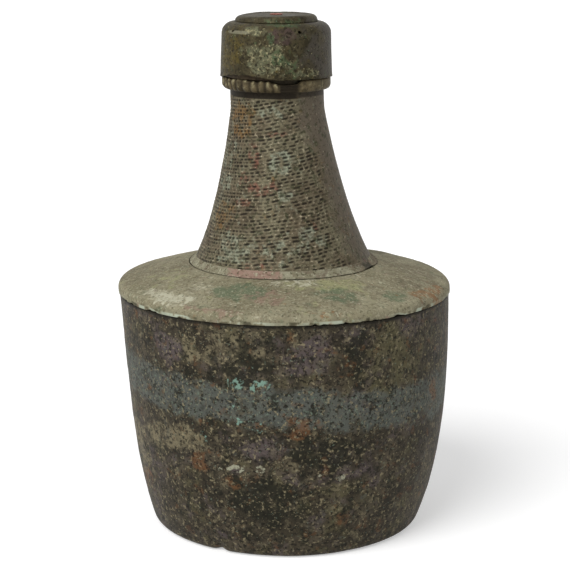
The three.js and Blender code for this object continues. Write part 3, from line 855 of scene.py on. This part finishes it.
def mouth_tube(finish):
    bore = THROAT_RADIUS - SHEET
    half = SHEET / 2
    lip = arc((MOUTH_RADIUS - half, MOUTH_TOP_Z - half), half, 0, 180)
    outline = np.vstack([[(MOUTH_RADIUS, SEAT_Z)], lip])
    inner_radius = MOUTH_RADIUS - SHEET
    inside = np.array([(inner_radius, MOUTH_TOP_Z - 1), (inner_radius, SEAT_Z + SHEET), (bore, SEAT_Z + SHEET),
                       (bore, SEAT_Z), (MOUTH_RADIUS - 0.3, SEAT_Z)])
    return turned_piece("mouth_tube", outline, inside, 200, 0.5, 1, finish, plain)


CAP_PATINA = {
    "pale": [(-12, 231, 11, 8, 1), (-20, 243, 8, 2.5, 0.9), (32, 224, 7, 3, 0.8), (8, 227, 6, 5, 0.7)],
    "green": [(2, 232, 4, 4, 1), (-6, 240, 2, 3, 0.9), (9, 247, 8, 2, 0.8), (16, 226, 5, 6, 0.5)],
    "violet": [(6, 241, 6, 4, 0.9)],
    "grey": [(60, 234, 14, 16, 1), (95, 234, 20, 16, 0.7)],
    "olive": [(-55, 233, 10, 12, 0.9), (-8, 245.5, 25, 1.5, 0.5)],
}
CAP_LIFT = 2.0  # how far the lower edge is worn up at the left of the front
CAP_LIFT_FROM, CAP_LIFT_MOST, CAP_LIFT_TO = -82, -42, 4


def cap_relief(spots):
    """Small dents of use, dense grains of crust in front, and a sheet that is nearly bare at the right."""
    degrees = np.degrees(spots.phi)
    fields = painted(spots, spots.z, CAP_PATINA, 100)
    uneven = noise(spots.point, 12, 71, 2)
    grain = noise(spots.point, 1.7, 72, 3)
    pit = pits(spots.point, 1.9, 73) * smooth(-0.1, 0.3, noise(spots.point, 10, 74)) * (1 - fields["grey"])
    crusty = np.maximum(fields["pale"], 0.4 * fields["olive"])
    fields["hollow"] = 0.8 * pit
    fields["edge"] = smooth(SEAT_Z + 20.8, SEAT_Z + 21.6, spots.z) * smooth(SEAT_Z + 23.4, SEAT_Z + 22.4, spots.z) * (
        smooth(-70, -50, degrees) * smooth(-20, -35, degrees))
    height = 0.12 * uneven + (0.04 + 0.12 * crusty) * grain - 0.2 * pit - 0.12
    return height * smooth(0, 1.2, spots.run), fields


def cap_bend(radius, z, turn):
    """The lower edge is worn and bent up at the left of the front."""
    degrees = np.degrees(turn)
    worn = smooth(CAP_LIFT_FROM, CAP_LIFT_MOST, degrees) * smooth(CAP_LIFT_TO, CAP_LIFT_MOST + 8, degrees)
    place = np.column_stack([25 * np.sin(turn), 25 * np.cos(turn), 0 * z])
    nibbled = 0.25 * noise(place, 3, 75, 3) + 0.25
    skirt = smooth(SEAT_Z + 5, SEAT_Z, z)
    return radius, z + (CAP_LIFT * worn + nibbled * smooth(120, 20, abs(degrees))) * skirt


VENTS = {"left": (-52, 1.8, 0.8, -12), "right": (25, 2.0, 1.5, 10)}
VENT_LIFT = 22
VENT_DEPTH = 6


def cut_vents(shell):
    """The two holes pierced through the cap's rounded shoulder, ragged at their edge."""
    draw = np.random.default_rng(77)
    middle = np.array([CAP_SKIRT_TOP_RADIUS - CAP_ROUND, CAP_TOP_Z - CAP_ROUND])
    lift = math.radians(VENT_LIFT)
    for name, (azimuth, width, height, tilt) in VENTS.items():
        turn, roll = math.radians(azimuth), math.radians(tilt)
        side = np.array([math.cos(turn), math.sin(turn), 0])
        out = np.array([math.cos(lift) * math.sin(turn), -math.cos(lift) * math.cos(turn), math.sin(lift)])
        up = np.cross(side, out)
        radius = middle[0] + CAP_ROUND * math.cos(lift)
        z = middle[1] + CAP_ROUND * math.sin(lift)
        centre = np.array([radius * math.sin(turn) + MOUTH_DRIFT, -radius * math.cos(turn), z])
        ring = []
        for angle in np.linspace(0, 2 * math.pi, 14, endpoint=False):
            ragged = draw.uniform(0.8, 1.15)
            a = width / 2 * ragged * math.cos(angle)
            b = height / 2 * ragged * math.sin(angle)
            ring.append((a * math.cos(roll) - b * math.sin(roll)) * side + (a * math.sin(roll) + b * math.cos(roll)) * up)
        count = len(ring)
        ends = [centre + spoke + end * VENT_DEPTH / 2 * out for end in (-1, 1) for spoke in ring]
        faces = [list(range(count)), list(range(2 * count - 1, count - 1, -1))]
        faces += [[i, i + count, (i + 1) % count + count, (i + 1) % count] for i in range(count)]
        mesh = bpy.data.meshes.new("vent_" + name)
        mesh.from_pydata([tuple(end * MM) for end in ends], [], faces)
        cutter = bpy.data.objects.new("vent_" + name, mesh)
        bpy.context.scene.collection.objects.link(cutter)
        cut = shell.modifiers.new("vent_" + name, "BOOLEAN")
        cut.object = cutter
        cut.operation = "DIFFERENCE"
        cut.solver = "EXACT"
        with bpy.context.temp_override(object=shell, active_object=shell):
            bpy.ops.object.modifier_apply(modifier=cut.name)
        bpy.data.objects.remove(cutter)


def cap_shell(finish):
    round_centre = (CAP_SKIRT_TOP_RADIUS - CAP_ROUND, CAP_TOP_Z - CAP_ROUND)
    inner_bend = CAP_ROUND - CAP_SHEET
    hole = RIVET_RADIUS + SEAM_GAP
    outline = np.vstack([[(CAP_LIP_RADIUS, SEAT_Z)], arc(round_centre, CAP_ROUND, 0, 90), [(hole, CAP_TOP_Z)]])
    under_z = CAP_TOP_Z - CAP_SHEET
    inner_centre = (CAP_BORE - inner_bend, round_centre[1])
    inside = np.vstack([[(hole, under_z)], arc(inner_centre, inner_bend, 90, 0), [(CAP_BORE, SEAT_Z)]])
    shell = turned_piece("cap_shell", outline, inside, 340, 0.42, 1.5, finish, cap_relief, cap_bend)
    cut_vents(shell)
    return shell


def plate_relief(spots):
    """Worn step and rim of the top plate, with crust in the step's corner."""
    fields = painted(spots, spots.z, CAP_PATINA, 120)
    grain = noise(spots.point, 1.7, 81, 3)
    uneven = noise(spots.point, 9, 82, 2)
    low = smooth(CAP_TOP_Z + 1.2, CAP_TOP_Z, spots.z)
    fields["hollow"] = np.maximum(smooth(0.25, 0.7, grain) * 0.5, 0.5 * low)
    fields["pale"] = np.maximum(fields["pale"], 0.6 * low * smooth(-50, -30, np.degrees(spots.phi)))
    fields["edge"] = 0 * grain
    return (0.14 * uneven + 0.06 * grain - 0.14) * smooth(0, 1, spots.run), fields


def plate_bend(radius, z, turn):
    """The plate's left front edge has been beaten down a little."""
    down = smooth(10, -60, np.degrees(turn)) * smooth(-160, -100, np.degrees(turn))
    share = (z - CAP_TOP_Z) / (PLATE_TOP_Z - CAP_TOP_Z)
    return radius, z - 0.7 * down * np.clip(share, 0, 1) * smooth(8, PLATE_RADIUS, radius)


def cap_plate(finish):
    rounded = arc((PLATE_RADIUS - PLATE_ROUND, PLATE_TOP_Z - PLATE_ROUND), PLATE_ROUND, 0, 90)
    dish_z = PLATE_TOP_Z - PLATE_DISH
    hole = RIVET_RADIUS + SEAM_GAP
    dish = [(PLATE_RADIUS - PLATE_ROUND - 0.9, dish_z), (hole, dish_z)]
    outline = np.vstack([[(PLATE_RADIUS, CAP_TOP_Z)], rounded, dish])
    under_z = dish_z - PLATE_SHEET
    inner = PLATE_RADIUS - PLATE_SHEET
    inside = np.vstack([[(hole, under_z)], arc((inner - 2, under_z - 2), 2, 90, 0), [(inner, CAP_TOP_Z)]])
    return turned_piece("cap_plate", outline, inside, 260, 0.4, 1.5, finish, plate_relief, plate_bend)


def rivet_relief(spots):
    """Torn metal: a ragged lip, highest at the left, round a rough crater."""
    grain = noise(spots.point, 0.9, 91, 3)
    head = smooth(PLATE_TOP_Z - 1, PLATE_TOP_Z - 0.5, spots.z)
    crater = head * smooth(STUB_RADIUS - 0.6, STUB_RADIUS - 1.4, spots.radius)
    fields = {"hollow": crater, "ridge": head * (1 - crater)}
    return 0.12 * grain * head, fields


def knob_rivet(finish):
    dish_z = PLATE_TOP_Z - PLATE_DISH
    outline = np.array([
        (0, RIVET_BOTTOM_Z), (2.1, RIVET_BOTTOM_Z + 0.24), (3, RIVET_BOTTOM_Z + 0.96), (3, WASHER_BOTTOM_Z),
        (RIVET_RADIUS, WASHER_BOTTOM_Z), (RIVET_RADIUS, dish_z), (STUB_RADIUS, dish_z),
        (STUB_RADIUS - 0.1, RIVET_TOP_Z), (STUB_RADIUS - 0.5, RIVET_TOP_Z),
    ])
    inside = np.array([(STUB_RADIUS - 1, RIVET_TOP_Z - 0.45), (0, RIVET_TOP_Z - 0.9)])
    return turned_piece("knob_rivet", outline, inside, 72, 0.15, 0.3, finish, rivet_relief)


wall_finish = hammered_bronze_under_burial_crust()
tube_finish = turned_bronze_under_cap()
cap_finish = raised_bronze_cap()
body_wall(wall_finish)
base_disc(wall_finish)
shoulder_plate(planished_bronze_with_lime_crust())
neck(row_hammered_bronze())
neck_foot_solder(soft_solder_under_crust())
collar_ring(cast_bronze_ring())
mouth_tube(tube_finish)
cap_shell(cap_finish)
cap_plate(cap_finish)
knob_rivet(torn_copper_rivet())
for slot in frame["nodes"]["rivet_washer"].material_slots:
    slot.material = tube_finish


# Studio: an even pale room, one soft light from the upper left and a weak one from the right

ROOM_LIGHT = 0.34
KEY = {"towards": (-0.6, -0.75, 0.95), "strength": 2.4, "angle": 40}
FILL = {"towards": (0.9, -0.5, 0.5), "strength": 0.15, "angle": 60}
FLOOR_SIZE = 40
FLOOR_LIFT = 0.42


def sun(name, towards, strength, angle):
    data = bpy.data.lights.new(name, "SUN")
    data.energy = strength
    data.angle = math.radians(angle)
    lamp = bpy.data.objects.new(name, data)
    x, y, z = towards
    lamp.rotation_euler = (math.acos(z / math.hypot(x, y, z)), 0, math.atan2(y, x) + math.pi / 2)
    bpy.context.scene.collection.objects.link(lamp)


def seen_rays(tree):
    """1 for a ray from the camera, or one mirrored or let through on its way, and 0 for the light itself."""
    path = add(tree, "LightPath").outputs
    seen = add(tree, "Math", {0: path["Is Camera Ray"], 1: path["Is Glossy Ray"]}, operation="MAXIMUM")
    seen = add(tree, "Math", {0: seen.outputs[0], 1: path["Is Transmission Ray"]}, operation="MAXIMUM")
    return seen.outputs[0]


def pale_room():
    """White to the camera and to reflections, and dimmer as a light on the flask."""
    world = bpy.data.worlds.new("pale_room")
    world.use_nodes = True
    tree = world.node_tree
    level = add(tree, "MapRange", {"Value": seen_rays(tree), "To Min": ROOM_LIGHT, "To Max": 1})
    background = tree.nodes["Background"]
    background.inputs["Color"].default_value = (1, 1, 1, 1)
    tree.links.new(level.outputs[0], background.inputs["Strength"])
    bpy.context.scene.world = world


def pale_floor():
    """Painted board: white where the light falls on it, with the flask's shadow kept."""
    material = bpy.data.materials.new("painted_board")
    material.use_nodes = True
    tree = material.node_tree
    lift = add(tree, "Math", {0: seen_rays(tree), 1: FLOOR_LIFT}, operation="MULTIPLY")
    shader = tree.nodes["Principled BSDF"]
    shader.inputs["Base Color"].default_value = linear("#e6e6e6")
    shader.inputs["Roughness"].default_value = 1
    shader.inputs["Emission Color"].default_value = (1, 1, 1, 1)
    tree.links.new(lift.outputs[0], shader.inputs["Emission Strength"])
    half = FLOOR_SIZE / 2
    mesh = bpy.data.meshes.new("floor")
    rim = [(-half, -half, 0), (half, -half, 0), (half, half, 0), (-half, half, 0)]
    mesh.from_pydata(rim, [], [(0, 1, 2, 3)])
    mesh.materials.append(material)
    floor = bpy.data.objects.new("floor", mesh)
    bpy.context.scene.collection.objects.link(floor)


sun("key", **KEY)
sun("fill", **FILL)
pale_room()
pale_floor()
bpy.context.scene.view_settings.view_transform = "Standard"
